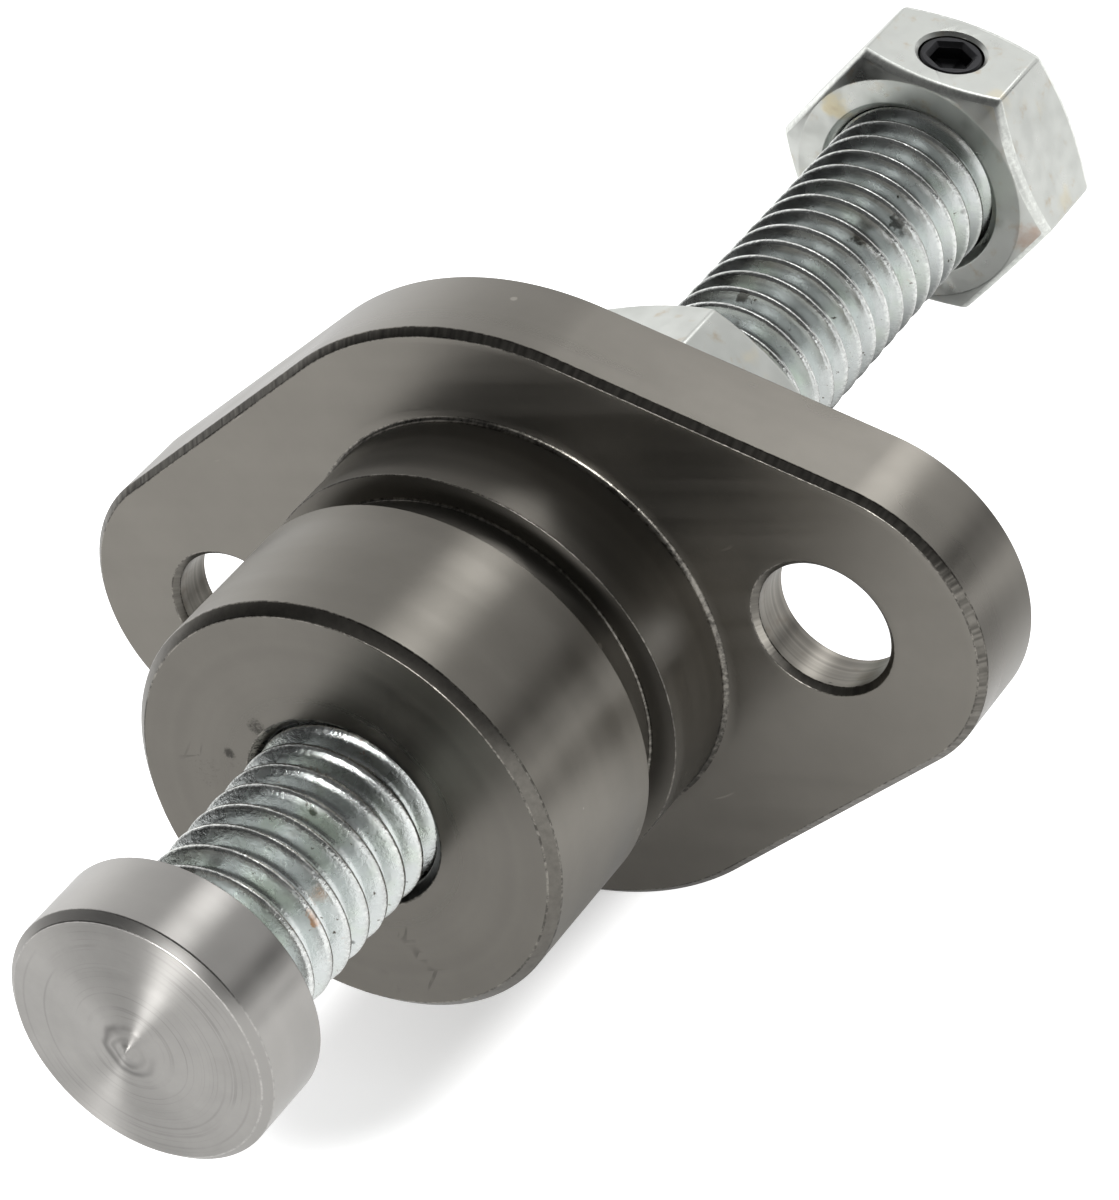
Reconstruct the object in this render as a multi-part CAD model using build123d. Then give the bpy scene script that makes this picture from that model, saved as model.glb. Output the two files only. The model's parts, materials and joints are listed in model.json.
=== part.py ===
from build123d import *
import math
import os

# Manual cam chain tensioner: a flanged housing that bolts to the engine, and a threaded
# adjuster that pushes the chain guide with the round pad on its front end.
# Frame: the origin is the centre of the flange's mounting face. -Y points along the screw
# towards the pad, +X along the two flange holes, +Z up. All sizes are in millimetres.

# Flange
FLANGE_T = 5.0
HOLE_SPACING = 35.0
WAIST_R = 16.4
LOBE_R = 8.4
FLANGE_CHAMFER = 0.35
HOLE_D = 6.9
HOLE_CHAMFER = 0.3
SEAT_D = 12.4
SEAT_WEB = 2.6

# Nose and its seal groove
NOSE_D = 22.86
NOSE_L = 16.15
NOSE_CHAMFER = 0.5
GROOVE_START = 4.85
GROOVE_W = 2.6
GROOVE_DEPTH = 1.4
PILOT_FILLET = 0.25

# Adjuster thread, 3/8 inch with 16 turns to the inch
THREAD_D = 9.525
THREAD_PITCH = 1.5875
THREAD_CLEARANCE = 0.05
BORE_CHAMFER = 0.45
NECK_L = 0.8

# Pad turned on the front end of the bolt
PAD_D = 13.8
PAD_REAR = 29.25
PAD_T = 3.9
PAD_CHAMFER = 0.4
CONE_RISE = 0.8
PIP_D = 2.6
PIP_RISE = 0.2

# The two hexagon nuts, alike but for the set screw's hole
NUT_AF = 14.05
NUT_T = 6.8
NUT_FACE_RATIO = 0.95
NUT_CHAMFER_ANGLE = 30.0
NUT_MOUTH_CHAMFER = 0.45
LOCK_NUT_GAP = 6.7
LOCK_NUT_TURN = 0.6
HEAD_NUT_FRONT = 42.4
HEAD_NUT_TURN = 34.6
BOLT_END_SET_IN = 0.3

# Set screw in one flat of the head nut
SET_SCREW_D = 3.5
SET_SCREW_CLEARANCE = 0.05
SET_SCREW_SINK = 0.15
SET_SCREW_TIP_GAP = 0.05
SET_SCREW_EDGE = 0.15
SET_HOLE_CHAMFER = 0.2
SOCKET_AF = 2.0
SOCKET_DEPTH = 1.0

# Values worked out from the driving ones
thread_r = THREAD_D / 2
thread_depth = THREAD_PITCH * 0.6134
bore_r = thread_r + THREAD_CLEARANCE
nose_r = NOSE_D / 2
groove_end = GROOVE_START + GROOVE_W
lock_nut_front = FLANGE_T + LOCK_NUT_GAP
bolt_back = HEAD_NUT_FRONT + NUT_T - BOLT_END_SET_IN
screw_axis_back = HEAD_NUT_FRONT + NUT_T / 2

# Sketches on this plane have X along the flange holes, Y up, and face the pad
FACE = Plane(origin=(0, 0, 0), x_dir=(1, 0, 0), z_dir=(0, -1, 0))
# Half sections on this plane have X as the radius and Y as the way along the screw to the pad
SECTION = Plane(origin=(0, 0, 0), x_dir=(1, 0, 0), z_dir=(0, 0, -1))


def turned(points):
    """A solid turned about the screw's axis from a closed half section of (radius, way)."""
    outline = make_face(SECTION * Polyline(*points, close=True))
    return revolve(outline, axis=Axis.Y)


def flange_outline():
    """Round waist with a round lobe at each hole, joined by tangent lines."""
    half = HOLE_SPACING / 2
    lean = math.acos((WAIST_R - LOBE_R) / half)
    joins = []
    for side, angle in ((1, lean), (-1, math.pi - lean)):
        toward = (math.cos(angle), math.sin(angle))
        on_lobe = (side * half + LOBE_R * toward[0], LOBE_R * toward[1])
        on_waist = (WAIST_R * toward[0], WAIST_R * toward[1])
        joins.append((on_lobe, on_waist))
    (right_lobe, right_waist), (left_lobe, left_waist) = joins
    top = [
        Line(right_lobe, right_waist),
        ThreePointArc(right_waist, (0, WAIST_R), left_waist),
        Line(left_waist, left_lobe),
    ]
    ends = [
        ThreePointArc(right_lobe, (half + LOBE_R, 0), (right_lobe[0], -right_lobe[1])),
        ThreePointArc(left_lobe, (-half - LOBE_R, 0), (left_lobe[0], -left_lobe[1])),
    ]
    bottom = [mirror(edge, about=Plane.XZ) for edge in top]
    return make_face([*top, *ends, *bottom])


def make_housing():
    """Flange, pilot, seal groove and nose in one piece, with the threaded bore through it."""
    plate = extrude(FACE * flange_outline(), amount=-FLANGE_T)
    front_edges = plate.faces().sort_by(Axis.Y)[0].edges()
    plate = chamfer(front_edges, FLANGE_CHAMFER)
    for side in (-1, 1):
        hole = Cylinder(HOLE_D / 2, 3 * FLANGE_T)
        place = Pos(side * HOLE_SPACING / 2, 0, 0) * Rot(90, 0, 0)
        plate -= place * hole
        mouth = Cone(HOLE_D / 2, HOLE_D / 2 + 2 * HOLE_CHAMFER, 2 * HOLE_CHAMFER)
        plate -= place * mouth
        seat = Cylinder(SEAT_D / 2, FLANGE_T, align=(Align.CENTER, Align.CENTER, Align.MAX))
        plate -= Pos(side * HOLE_SPACING / 2, SEAT_WEB, 0) * Rot(90, 0, 0) * seat
    groove_floor_r = nose_r - GROOVE_DEPTH
    nose = turned([
        (0, -FLANGE_T / 2),
        (nose_r, -FLANGE_T / 2),
        (nose_r, GROOVE_START),
        (groove_floor_r, GROOVE_START),
        (groove_floor_r, groove_end),
        (nose_r, groove_end),
        (nose_r, NOSE_L - NOSE_CHAMFER),
        (nose_r - NOSE_CHAMFER, NOSE_L),
        (0, NOSE_L),
    ])
    body = plate + nose
    root_edges = body.edges().filter_by(GeomType.CIRCLE).filter_by(
        lambda edge: abs(edge.radius - nose_r) < 1e-6 and abs(edge.center().Y) < 1e-6)
    body = fillet(root_edges, PILOT_FILLET)
    bore_mouth_r = bore_r + BORE_CHAMFER
    bore = turned([
        (0, -FLANGE_T),
        (bore_mouth_r, -FLANGE_T),
        (bore_r, -FLANGE_T + BORE_CHAMFER),
        (bore_r, NOSE_L - BORE_CHAMFER),
        (bore_mouth_r, NOSE_L),
        (0, NOSE_L),
    ])
    return body - bore


def make_adjuster_bolt():
    """Threaded rod at the thread's outer size, with the coned pad turned on its front end."""
    pad_r = PAD_D / 2
    rim = PAD_REAR + PAD_T
    apex = rim + PAD_CHAMFER + CONE_RISE
    pip_r = PIP_D / 2
    pip_foot = apex - CONE_RISE * pip_r / (pad_r - PAD_CHAMFER)
    neck_start = PAD_REAR - NECK_L
    neck_depth = thread_depth / 2
    return turned([
        (0, -bolt_back),
        (thread_r - thread_depth, -bolt_back),
        (thread_r, -bolt_back + thread_depth),
        (thread_r, neck_start - neck_depth),
        (thread_r - neck_depth, neck_start),
        (thread_r - neck_depth, PAD_REAR),
        (pad_r, PAD_REAR),
        (pad_r, rim),
        (pad_r - PAD_CHAMFER, rim + PAD_CHAMFER),
        (pip_r, pip_foot),
        (pip_r * 0.7, pip_foot + PIP_RISE),
        (0, apex + PIP_RISE),
    ])


def make_nut(front, turn):
    """Hexagon nut behind the flange, its corners turned off at both ends."""
    hexagon = RegularPolygon(NUT_AF / 2, 6, major_radius=False, rotation=turn)
    nut = extrude(FACE * Pos(0, 0, -front) * hexagon, amount=-NUT_T)
    face_r = NUT_AF / 2 * NUT_FACE_RATIO
    corner_r = NUT_AF / math.sqrt(3)
    drop = (corner_r - face_r) * math.tan(math.radians(NUT_CHAMFER_ANGLE))
    envelope = turned([
        (0, -front),
        (face_r, -front),
        (corner_r, -front - drop),
        (corner_r, -front - NUT_T + drop),
        (face_r, -front - NUT_T),
        (0, -front - NUT_T),
    ])
    mouth_r = bore_r + NUT_MOUTH_CHAMFER
    bore = turned([
        (0, -front),
        (mouth_r, -front),
        (bore_r, -front - NUT_MOUTH_CHAMFER),
        (bore_r, -front - NUT_T + NUT_MOUTH_CHAMFER),
        (mouth_r, -front - NUT_T),
        (0, -front - NUT_T),
    ])
    return (nut & envelope) - bore


def screw_place(out):
    """Point on the set screw's axis, so far out from the middle of the bolt, facing outwards."""
    angle = math.radians(HEAD_NUT_TURN + 30)
    toward = Vector(math.cos(angle), 0, math.sin(angle))
    return Plane(origin=toward * out + Vector(0, screw_axis_back, 0), x_dir=(0, 1, 0), z_dir=toward)


def make_head_nut():
    """Head nut with the tapped hole for its set screw through one flat."""
    nut = make_nut(HEAD_NUT_FRONT, HEAD_NUT_TURN)
    hole_r = SET_SCREW_D / 2 + SET_SCREW_CLEARANCE
    flat = NUT_AF / 2
    up = (Align.CENTER, Align.CENTER, Align.MIN)
    hole = screw_place(0) * Cylinder(hole_r, NUT_AF, align=up)
    mouth = screw_place(flat - SET_HOLE_CHAMFER) * Cone(
        hole_r, hole_r + 2 * SET_HOLE_CHAMFER, 2 * SET_HOLE_CHAMFER, align=up)
    return nut - hole - mouth


def make_set_screw():
    """Headless screw with a hexagon socket, its flat tip on the bolt's thread."""
    tip = thread_r + SET_SCREW_TIP_GAP
    top = NUT_AF / 2 - SET_SCREW_SINK
    length = top - tip
    up = (Align.CENTER, Align.CENTER, Align.MIN)
    screw = screw_place(tip) * Cylinder(SET_SCREW_D / 2, length, align=up)
    screw = chamfer(screw.edges().filter_by(GeomType.CIRCLE), SET_SCREW_EDGE)
    socket = RegularPolygon(SOCKET_AF / 2, 6, major_radius=False)
    return screw - extrude(screw_place(top) * socket, amount=-SOCKET_DEPTH)


parts = {
    "housing": make_housing(),
    "adjuster_bolt": make_adjuster_bolt(),
    "lock_nut": make_nut(lock_nut_front, LOCK_NUT_TURN),
    "head_nut": make_head_nut(),
    "set_screw": make_set_screw(),
}

os.makedirs("parts", exist_ok=True)
for name, solid in parts.items():
    export_step(solid, f"parts/{name}.step")
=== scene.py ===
import json
import math

import bmesh
import bpy
from bpy.props import FloatProperty, FloatVectorProperty, IntProperty, PointerProperty
from mathutils import Matrix, Vector


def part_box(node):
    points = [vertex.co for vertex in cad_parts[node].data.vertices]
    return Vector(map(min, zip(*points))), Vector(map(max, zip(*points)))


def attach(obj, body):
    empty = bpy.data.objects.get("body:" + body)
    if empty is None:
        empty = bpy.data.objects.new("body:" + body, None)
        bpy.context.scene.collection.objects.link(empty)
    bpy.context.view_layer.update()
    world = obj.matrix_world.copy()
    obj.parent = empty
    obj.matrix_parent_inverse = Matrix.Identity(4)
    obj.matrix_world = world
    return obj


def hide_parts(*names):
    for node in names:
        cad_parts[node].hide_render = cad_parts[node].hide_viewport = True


bl_info = {
    "name": "Cam chain tensioner",
    "version": (1, 0, 0),
    "blender": (4, 5, 0),
    "location": "3D Viewport > Sidebar > Tensioner",
    "description": "Builds a manual cam chain tensioner: housing, threaded adjuster, nuts and set screw",
    "category": "Add Mesh",
}

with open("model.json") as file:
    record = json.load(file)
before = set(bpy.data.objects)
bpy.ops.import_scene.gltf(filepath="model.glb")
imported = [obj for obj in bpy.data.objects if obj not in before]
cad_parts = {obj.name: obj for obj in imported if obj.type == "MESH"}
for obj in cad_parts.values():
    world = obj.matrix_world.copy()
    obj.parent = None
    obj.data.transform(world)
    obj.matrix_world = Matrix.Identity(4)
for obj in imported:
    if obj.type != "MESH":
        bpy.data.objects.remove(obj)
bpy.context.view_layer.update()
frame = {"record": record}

MM = 0.001
mounts = {mount["name"]: mount for mount in frame["record"]["mounts"]}
housing_low, housing_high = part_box("housing")
bolt_low, bolt_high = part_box("adjuster_bolt")
lock_low, lock_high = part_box("lock_nut")
head_low, head_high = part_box("head_nut")
hole_dims = mounts["flange_bolts"]["dims"]
nose_dims = mounts["nose_spigot"]["dims"]
screw_ratio = frame["record"]["behaviour"]["couplings"][0]["ratio"]


def length(name, default, description):
    """A size in metres, shown with the scene's length unit."""
    return FloatProperty(
        name=name, description=description, default=default, unit="LENGTH", precision=5)


def angle(name, degrees, description):
    """An angle, given here in degrees."""
    return FloatProperty(
        name=name, description=description, default=math.radians(degrees), subtype="ANGLE")


def colour(name, default, description):
    """A linear colour that a user may repaint."""
    return FloatVectorProperty(
        name=name, description=description, default=default, subtype="COLOR", size=3,
        min=0.0, max=1.0)


class HousingSizes(bpy.types.PropertyGroup):
    """Sizes of the flanged housing."""
    hole_spacing: length(
        "Hole spacing", hole_dims["spacing_x_mm"] * MM, "Between the two flange holes")
    hole_radius: length("Hole radius", hole_dims["hole_r_mm"] * MM, "Radius of a flange hole")
    hole_chamfer: length("Hole chamfer", 0.3 * MM, "Chamfer at a hole's front mouth")
    seat_radius: length("Seat radius", 6.2 * MM, "Radius of a bolt head's seat behind a hole")
    seat_web: length("Seat web", 2.6 * MM, "Flange left in front of a bolt head's seat")
    lobe_radius: length(
        "Lobe radius", housing_high.x - hole_dims["spacing_x_mm"] * MM / 2,
        "Radius of the flange round a hole")
    waist_radius: length("Waist radius", housing_high.z, "Radius of the flange round the nose")
    thickness: length("Thickness", housing_high.y, "Thickness of the flange")
    flange_chamfer: length("Flange chamfer", 0.35 * MM, "Chamfer round the flange's front")
    nose_radius: length("Nose radius", nose_dims["r_mm"] * MM, "Radius of the turned nose")
    nose_length: length("Nose length", -housing_low.y, "How far the nose stands out")
    nose_chamfer: length("Nose chamfer", 0.5 * MM, "Lead-in chamfer of the nose")
    groove_start: length("Groove start", 4.85 * MM, "Face of the flange to the groove")
    groove_width: length("Groove width", 2.6 * MM, "Width of the seal groove")
    groove_depth: length("Groove depth", 1.4 * MM, "Depth of the seal groove")
    root_fillet: length("Root fillet", 0.25 * MM, "Fillet between flange and pilot")
    bore_radius: length("Bore radius", 4.8125 * MM, "Radius of the threaded bore")
    bore_chamfer: length("Bore chamfer", 0.45 * MM, "Chamfer at the bore's mouths")


class ScrewSizes(bpy.types.PropertyGroup):
    """Sizes of the adjuster bolt, its thread and its pad."""
    thread_radius: length("Thread radius", 4.7625 * MM, "Outer radius of the thread")
    pitch: length("Pitch", 2 * math.pi / screw_ratio, "Travel of one turn of the thread")
    thread_depth: length("Thread depth", 0.92 * MM, "Depth of the thread")
    crest_wear: length("Crest wear", 0.03 * MM, "How ragged the crests are")
    phase: FloatProperty(
        name="Phase", description="Where the first crest starts, in turns", default=0.54)
    segments: IntProperty(name="Segments", description="Sides of one turn", default=96, min=24)
    rear: length("Rear end", bolt_high.y, "Place of the bolt's rear end")
    front: length("Pad apex", bolt_low.y, "Place of the pad's foremost point")
    pad_radius: length("Pad radius", bolt_high.x, "Radius of the pad")
    pad_rear: length("Pad rear", -29.25 * MM, "Place of the pad's rear face")
    pad_thickness: length("Pad thickness", 3.9 * MM, "Width of the pad's rim")
    pad_chamfer: length("Pad chamfer", 0.4 * MM, "Chamfer round the pad's front")
    cone_rise: length("Cone rise", 0.8 * MM, "How far the pad's cone rises")
    pip_radius: length("Pip radius", 1.3 * MM, "Radius of the turned pip at the centre")
    pip_rise: length("Pip rise", 0.2 * MM, "How far the pip stands out")


class NutSizes(bpy.types.PropertyGroup):
    """Sizes of the two hexagon nuts and of the set screw."""
    across_flats: length("Across flats", 14.05 * MM, "Width of the hexagon")
    corner_round: length("Corner round", 0.3 * MM, "Rounding of the hexagon's corners")
    face_radius: length("Face radius", 14.05 * MM / 2 * 0.95, "Radius of a nut's flat face")
    chamfer_angle: angle("Chamfer angle", 30, "Slope of the turned corners")
    mouth_chamfer: length("Mouth chamfer", 0.45 * MM, "Chamfer at a nut's bore")
    lock_turn: angle("Lock nut turn", 0.6, "How the lock nut is turned")
    head_turn: angle("Head nut turn", 34.6, "How the head nut is turned")
    screw_radius: length("Set screw radius", 1.75 * MM, "Outer radius of the set screw")
    screw_clearance: length("Set screw clearance", 0.05 * MM, "Gap round the set screw")
    screw_sink: length("Set screw sink", 0.15 * MM, "How far the set screw lies below the flat")
    hole_chamfer: length("Set hole chamfer", 0.2 * MM, "Chamfer of the set screw's hole")
    socket_flats: length("Socket across flats", 2.0 * MM, "Width of the hexagon socket")
    socket_depth: length("Socket depth", 1.0 * MM, "Depth of the hexagon socket")


class Finishes(bpy.types.PropertyGroup):
    """Colours of the metals."""
    housing: colour("Housing", (0.235, 0.222, 0.198), "Grey machined housing")
    zinc: colour("Zinc", (0.71, 0.745, 0.735), "Bright zinc of the thread")
    nut: colour("Nut zinc", (0.60, 0.615, 0.585), "Pale zinc of the nuts")
    pad: colour("Pad steel", (0.36, 0.35, 0.335), "Bare turned steel of the pad")
    oxide: colour("Black oxide", (0.045, 0.045, 0.048), "Black set screw")
    rust: colour("Rust", (0.42, 0.17, 0.05), "Rust spots")


class StageSettings(bpy.types.PropertyGroup):
    """Where the camera stands, and its lens."""
    azimuth: angle("Azimuth", 40.568, "Camera's place round the part")
    elevation: angle("Elevation", 27.109, "Camera's height as an angle")
    roll: angle("Roll", 20.009, "Camera's lean to its right")
    distance: length("Distance", 249.99 * MM, "Camera to the point that it aims at")
    lens: FloatProperty(name="Lens", description="Focal length in millimetres", default=154.88)


def polar(radius, turn, centre=(0.0, 0.0)):
    """A point so far from a centre, at an angle in radians."""
    return centre[0] + radius * math.cos(turn), centre[1] + radius * math.sin(turn)


def circle(radius, count, centre):
    """Points of a circle, or its centre alone where it has no radius."""
    if radius < 1e-7:
        return [centre]
    return [polar(radius, 2 * math.pi / count * step, centre) for step in range(count)]


ROUNDING_STEPS = 3


def round_corners(corners):
    """Points and finishes along a profile whose corners are rounded.

    A corner is (radius, along, rounding, finish of the stretch after it)."""
    points = []
    finishes = []
    for index, (radius, along, rounding, finish) in enumerate(corners):
        here = Vector((radius, along))
        if rounding == 0:
            points.append(here)
        else:
            back = (Vector(corners[index - 1][:2]) - here).normalized()
            ahead = (Vector(corners[index + 1][:2]) - here).normalized()
            half = back.angle(ahead) / 2
            centre = here + (back + ahead).normalized() * rounding / math.cos(half)
            first = here + back * rounding - centre
            last = here + ahead * rounding - centre
            for step in range(ROUNDING_STEPS + 1):
                way = first.normalized().slerp(last.normalized(), step / ROUNDING_STEPS)
                points.append(centre + way * first.length)
            # Each rounding takes the edge finish, a painted highlight.
            finishes.extend(["edge"] * ROUNDING_STEPS)
        finishes.append(finish)
    return points, finishes[:-1]


def add_ring(bm, spots, along, runs=None):
    """A ring of points at one place along the screw's axis, with how far round each one is."""
    ring = [bm.verts.new((x, along, z)) for x, z in spots]
    if runs:
        layer = bm.verts.layers.float["run"]
        for vert, run in zip(ring, runs):
            vert[layer] = run
    return ring


def join_rings(bm, rings, slots):
    """Quads between each ring and the next one, or a fan where one is a single point."""
    for first, second, slot in zip(rings, rings[1:], slots):
        count = max(len(first), len(second))
        for index in range(count):
            after = (index + 1) % count
            corners = [first[index % len(first)], first[after % len(first)],
                       second[after % len(second)], second[index % len(second)]]
            face = bm.faces.new(list(dict.fromkeys(corners)))
            face.material_index = slot


def turn_profile(bm, corners, slots, count, centre=(0.0, 0.0)):
    """A surface turned from a profile. Returns its first and its last ring."""
    points, finishes = round_corners(corners)
    rings = [add_ring(bm, circle(point.x, count, centre), point.y) for point in points]
    join_rings(bm, rings, [slots[finish] for finish in finishes])
    return rings[0], rings[-1]


def loop_edges(bm, ring):
    """Edges of a closed ring of points."""
    return [bm.edges.get((ring[index - 1], ring[index])) for index in range(len(ring))]


def fill_flat(bm, edges, slot):
    """Fills the flat region between closed loops of edges."""
    made = bmesh.ops.triangle_fill(bm, use_beauty=True, use_dissolve=False, edges=edges)
    for item in made["geom"]:
        if isinstance(item, bmesh.types.BMFace):
            item.material_index = slot


ARC_STEPS = 64
LINE_STEPS = 12


def flange_outline(sizes, inset):
    """Points round the flange at an inset from its edge, and how far round each one is."""
    half = sizes.hole_spacing / 2
    lean = math.acos((sizes.waist_radius - sizes.lobe_radius) / half)
    arcs = [
        (half, sizes.lobe_radius, -lean, lean),
        (0.0, sizes.waist_radius, lean, math.pi - lean),
        (-half, sizes.lobe_radius, math.pi - lean, math.pi + lean),
        (0.0, sizes.waist_radius, math.pi + lean, 2 * math.pi - lean),
    ]
    spots = []
    runs = []
    run = 0.0
    for index, (middle, radius, start, end) in enumerate(arcs):
        for step in range(ARC_STEPS + 1):
            turn = start + (end - start) * step / ARC_STEPS
            spots.append(polar(radius - inset, turn, (middle, 0.0)))
            runs.append(run + radius * (turn - start))
        run += radius * (end - start)
        next_middle, next_radius, next_start, _ = arcs[(index + 1) % len(arcs)]
        here = spots[-1]
        goal = polar(next_radius - inset, next_start, (next_middle, 0.0))
        line = math.dist(here, goal)
        for step in range(1, LINE_STEPS):
            share = step / LINE_STEPS
            spots.append(tuple(near + (far - near) * share for near, far in zip(here, goal)))
            runs.append(run + line * share)
        run += line
    return spots, runs


SIXTH = math.pi / 3


def hexagon_outline(across_flats, corner_round, turn=0.0, arc_steps=5, flat_steps=10):
    """Points round a hexagon whose corners are rounded, starting at a corner."""
    inner = (across_flats / 2 - corner_round) / math.cos(SIXTH / 2)
    spots = []
    for side in range(6):
        facing = turn + side * SIXTH
        centre = Vector(polar(inner, facing))
        arc = [centre + Vector(polar(corner_round, facing + SIXTH * (step / arc_steps - 0.5)))
               for step in range(arc_steps + 1)]
        goal = Vector(polar(inner, facing + SIXTH)) + Vector(polar(corner_round, facing + SIXTH / 2))
        spots += arc
        spots += [arc[-1].lerp(goal, step / flat_steps) for step in range(1, flat_steps)]
    return spots


def round_ring(bm, outline, radius, along):
    """A round ring with its points at the same angles as those of an outline."""
    return add_ring(bm, [polar(radius, math.atan2(spot.y, spot.x)) for spot in outline], along)


def rounded_mesh(obj):
    """Turns an object's modifiers into its mesh."""
    graph = bpy.context.evaluated_depsgraph_get()
    mesh = bpy.data.meshes.new_from_object(
        obj.evaluated_get(graph), preserve_all_data_layers=True, depsgraph=graph)
    obj.modifiers.clear()
    obj.data = mesh


def round_edges(obj, width, degrees, finish=-1):
    """Rounds an object's sharp edges a little, and gives them a finish of their own if named."""
    bevel = obj.modifiers.new("Rounded edges", "BEVEL")
    bevel.material = finish
    bevel.limit_method = "ANGLE"
    bevel.angle_limit = math.radians(degrees)
    bevel.width = width
    bevel.segments = 3
    rounded_mesh(obj)


def make_object(bm, name, materials):
    """An object from a finished mesh, its faces pointing outwards."""
    bmesh.ops.recalc_face_normals(bm, faces=bm.faces)
    mesh = bpy.data.meshes.new(name)
    bm.to_mesh(mesh)
    bm.free()
    for material in materials:
        mesh.materials.append(material)
    mesh.shade_smooth()
    obj = bpy.data.objects.new(name, mesh)
    bpy.context.collection.objects.link(obj)
    return obj


def place_piece(obj, body, node):
    """Evens the normals out over the large faces, and puts the piece on its body."""
    even = obj.modifiers.new("Even normals", "WEIGHTED_NORMAL")
    even.mode = "FACE_AREA"
    even.weight = 50
    even.keep_sharp = True
    rounded_mesh(obj)
    obj.data.name = obj.name
    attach(obj, body)
    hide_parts(node)


class Value:
    """An output of a node tree that can be worked with like a number or a vector."""

    def __init__(self, tree, socket):
        self.tree = tree
        self.socket = socket

    def __add__(self, other):
        return calc("ADD", self, other)

    def __sub__(self, other):
        return calc("SUBTRACT", self, other)

    def __rsub__(self, other):
        return calc("SUBTRACT", other, self)

    def __mul__(self, other):
        return calc("MULTIPLY", self, other)

    def __truediv__(self, other):
        return calc("DIVIDE", self, other)

    def __abs__(self):
        return calc("ABSOLUTE", self)

    def times_plus(self, factor, extra):
        """This value times a factor, plus something more."""
        return calc("MULTIPLY_ADD", self, factor, extra)

    def ramp(self, low, high, to_low=0.0, to_high=1.0, how="SMOOTHSTEP"):
        """Maps this value from one range to another, held at both ends."""
        numbers = dict(enumerate((self, low, high, to_low, to_high)))
        return add_node(self.tree, "ShaderNodeMapRange", numbers, interpolation_type=how)

    def noise(self, scale, detail=2.0, roughness=0.5, distortion=0.0):
        """Noise from 0 to 1 about 0.5 at this place."""
        return add_node(self.tree, "ShaderNodeTexNoise", {
            "Vector": self, "Scale": scale, "Detail": detail, "Roughness": roughness,
            "Distortion": distortion})

    def parts(self):
        """The three parts of this vector."""
        first = add_node(self.tree, "ShaderNodeSeparateXYZ", {0: self})
        return [Value(self.tree, socket) for socket in first.socket.node.outputs]

    def near(self, spot, inner, outer):
        """A soft mask round a spot given in millimetres: 1 inside, 0 outside."""
        away = add_node(self.tree, "ShaderNodeVectorMath",
                        {0: self, 1: [part * MM for part in spot]}, "Value", operation="DISTANCE")
        return away.ramp(inner * MM, outer * MM, 1.0, 0.0)


def set_input(socket, value):
    """Links a value to an input, or sets the input to plain numbers."""
    if isinstance(value, Value):
        value.tree.links.new(value.socket, socket)
    else:
        socket.default_value = value


def add_node(tree, kind, values=None, output=0, **settings):
    """A new node with its settings and inputs. Returns one of its outputs."""
    node = tree.nodes.new(kind)
    for name, setting in settings.items():
        setattr(node, name, setting)
    for key, value in (values or {}).items():
        set_input(node.inputs[key], value)
    return Value(tree, node.outputs[output])


def tree_of(*values):
    """The node tree that some of these belong to."""
    return next(value.tree for value in values if isinstance(value, Value))


def calc(operation, *values):
    """One step of arithmetic."""
    return add_node(tree_of(*values), "ShaderNodeMath", dict(enumerate(values)),
                    operation=operation)


def combine(*parts):
    """A vector from three values."""
    return add_node(tree_of(*parts), "ShaderNodeCombineXYZ", dict(enumerate(parts)))


def blend(factor, first, second, how="MIX"):
    """Mixes two colours, each a value or plain numbers."""
    tree = tree_of(factor, first, second)
    first, second = (item if isinstance(item, Value) else (*item, 1.0) for item in (first, second))
    return add_node(tree, "ShaderNodeMix", {0: factor, 6: first, 7: second}, 2,
                    data_type="RGBA", blend_type=how)


def shaded(base, factor):
    """A colour made lighter or darker by a value."""
    return blend(1.0, base, combine(factor, factor, factor), "MULTIPLY")


def toned(base, gain):
    """A plain colour made lighter or darker."""
    return tuple(min(1.0, part * gain) for part in base)


def radius_and_along(vector):
    """Distance from the screw's axis, and the place along it."""
    x, y, z = vector.parts()
    return calc("SQRT", x * x + z * z), y


def shader_group(name, outputs, **inputs):
    """An empty shader node group. Returns its inputs as values, and its output sockets."""
    tree = bpy.data.node_groups.new(name, "ShaderNodeTree")
    for label, value in inputs.items():
        kind = "NodeSocketVector" if value is None else "NodeSocketFloat"
        socket = tree.interface.new_socket(
            label.replace("_", " "), in_out="INPUT", socket_type=kind)
        if value is not None:
            socket.default_value = value
    for label in outputs:
        tree.interface.new_socket(label, in_out="OUTPUT", socket_type="NodeSocketFloat")
    start = tree.nodes.new("NodeGroupInput").outputs
    end = tree.nodes.new("NodeGroupOutput").inputs
    return [Value(tree, socket) for socket in start[:len(inputs)]], end


def group_turning_marks():
    """Fine rings that a lathe tool leaves, on faces and on round sides alike."""
    (vector, marks), outputs = shader_group(
        "Turning marks", ("Height", "Band"), Vector=None, Marks_per_metre=6000.0)
    radius, along = radius_and_along(vector)
    spot = combine(radius, along, 0.37)
    set_input(outputs["Height"], spot.noise(marks, 3.0, 0.7))
    set_input(outputs["Band"], spot.noise(marks * 0.12))


def group_straight_grain():
    """Fine straight grain along X, as from a grinding belt."""
    (vector, lines), outputs = shader_group(
        "Straight grain", ("Height", "Band"), Vector=None, Lines_per_metre=7000.0)
    x, y, z = vector.parts()
    spot = combine(x * 0.03, y * 0.03, z)
    set_input(outputs["Height"], spot.noise(lines, 3.0, 0.65))
    set_input(outputs["Band"], spot.noise(lines * 0.1))


def group_mottle():
    """Soft cloudy variation about 1."""
    (vector, scale, strength), outputs = shader_group(
        "Mottle", ("Factor",), Vector=None, Scale=300.0, Strength=0.1)
    swing = (vector.noise(scale, 4.0, 0.6) - 0.5) * strength
    set_input(outputs["Factor"], swing.times_plus(2.0, 1.0))


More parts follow.
